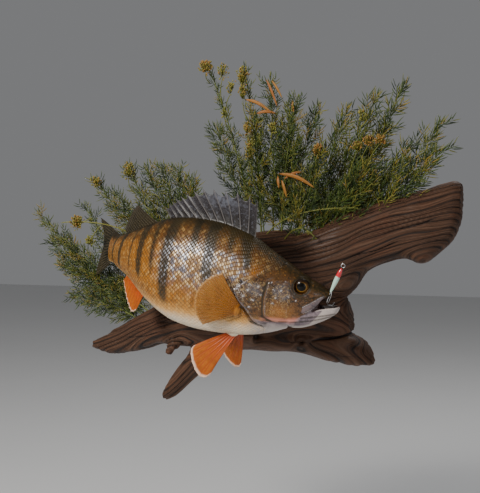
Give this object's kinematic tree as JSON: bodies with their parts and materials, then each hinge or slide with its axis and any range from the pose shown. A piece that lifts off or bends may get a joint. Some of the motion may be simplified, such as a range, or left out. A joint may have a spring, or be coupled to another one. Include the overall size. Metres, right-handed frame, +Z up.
{
  "type": "mounted yellow perch on driftwood",
  "caption": "Life-size wall-hung skin mount of a yellow perch, mouth open on a small jig, tail curled to the wall, on a driftwood root with dried plants.",
  "frame": {"origin": "centre of the hanger plate's back face, on the wall", "axes": "+X to the right along the wall, as seen from in front, +Y into the wall, +Z up"},
  "size_m": [0.4793, 0.1817, 0.3562],
  "materials": {
    "perch_skin": "tanned and painted scaly skin under clear gloss lacquer",
    "jaw_skin": "pale painted skin under clear gloss lacquer",
    "smoky_fin": "thin smoky translucent fin, glossy",
    "orange_fin": "thin orange translucent fin with a pale rim, glossy",
    "amber_fin": "thin amber translucent fin, glossy",
    "glass_eye": "polished glass eye, amber iris and black pupil",
    "driftwood": "weathered ridged root, matt with a few varnish glints",
    "dried_plant": "preserved green foliage with yellow-brown heads, matt",
    "steel": "plain zinc-plated steel",
    "jig_paint_pale": "pale mint gloss paint",
    "jig_paint_red": "red gloss paint"
  },
  "bodies": {
    "root": {"anal_fin": "orange_fin", "dorsal_fin_first": "smoky_fin", "dorsal_fin_second": "smoky_fin", "driftwood": "driftwood", "eye_left": "glass_eye", "eye_right": "glass_eye", "flower_stem_1": "dried_plant", "front_stem_1": "dried_plant", "front_stem_2": "dried_plant", "gill_cover_left": "perch_skin", "gill_cover_right": "perch_skin", "hanger_plate": "steel", "hanger_screw_left": "steel", "hanger_screw_right": "steel", "head": "perch_skin", "jig_body": "jig_paint_pale", "jig_head": "jig_paint_red", "jig_hook": "steel", "jig_ring": "steel", "lower_jaw": "jaw_skin", "mounting_rod": "steel", "pectoral_fin_left": "amber_fin", "pectoral_fin_right": "amber_fin", "pelvic_fin_left": "orange_fin", "pelvic_fin_right": "orange_fin", "plant_left_1": "dried_plant", "plant_left_2": "dried_plant", "plant_left_3": "dried_plant", "plant_left_4": "dried_plant", "plant_lower_1": "dried_plant", "plant_lower_2": "dried_plant", "plant_lower_3": "dried_plant", "plant_upper_1": "dried_plant", "plant_upper_2": "dried_plant", "plant_upper_3": "dried_plant", "plant_upper_4": "dried_plant", "plant_upper_5": "dried_plant", "plant_upper_6": "dried_plant", "plant_upper_7": "dried_plant", "plant_upper_8": "dried_plant", "plant_upper_9": "dried_plant", "tail_fin": "smoky_fin", "tail_stalk": "perch_skin", "trunk_front": "perch_skin", "trunk_rear": "perch_skin"}
  },
  "joints": []
}
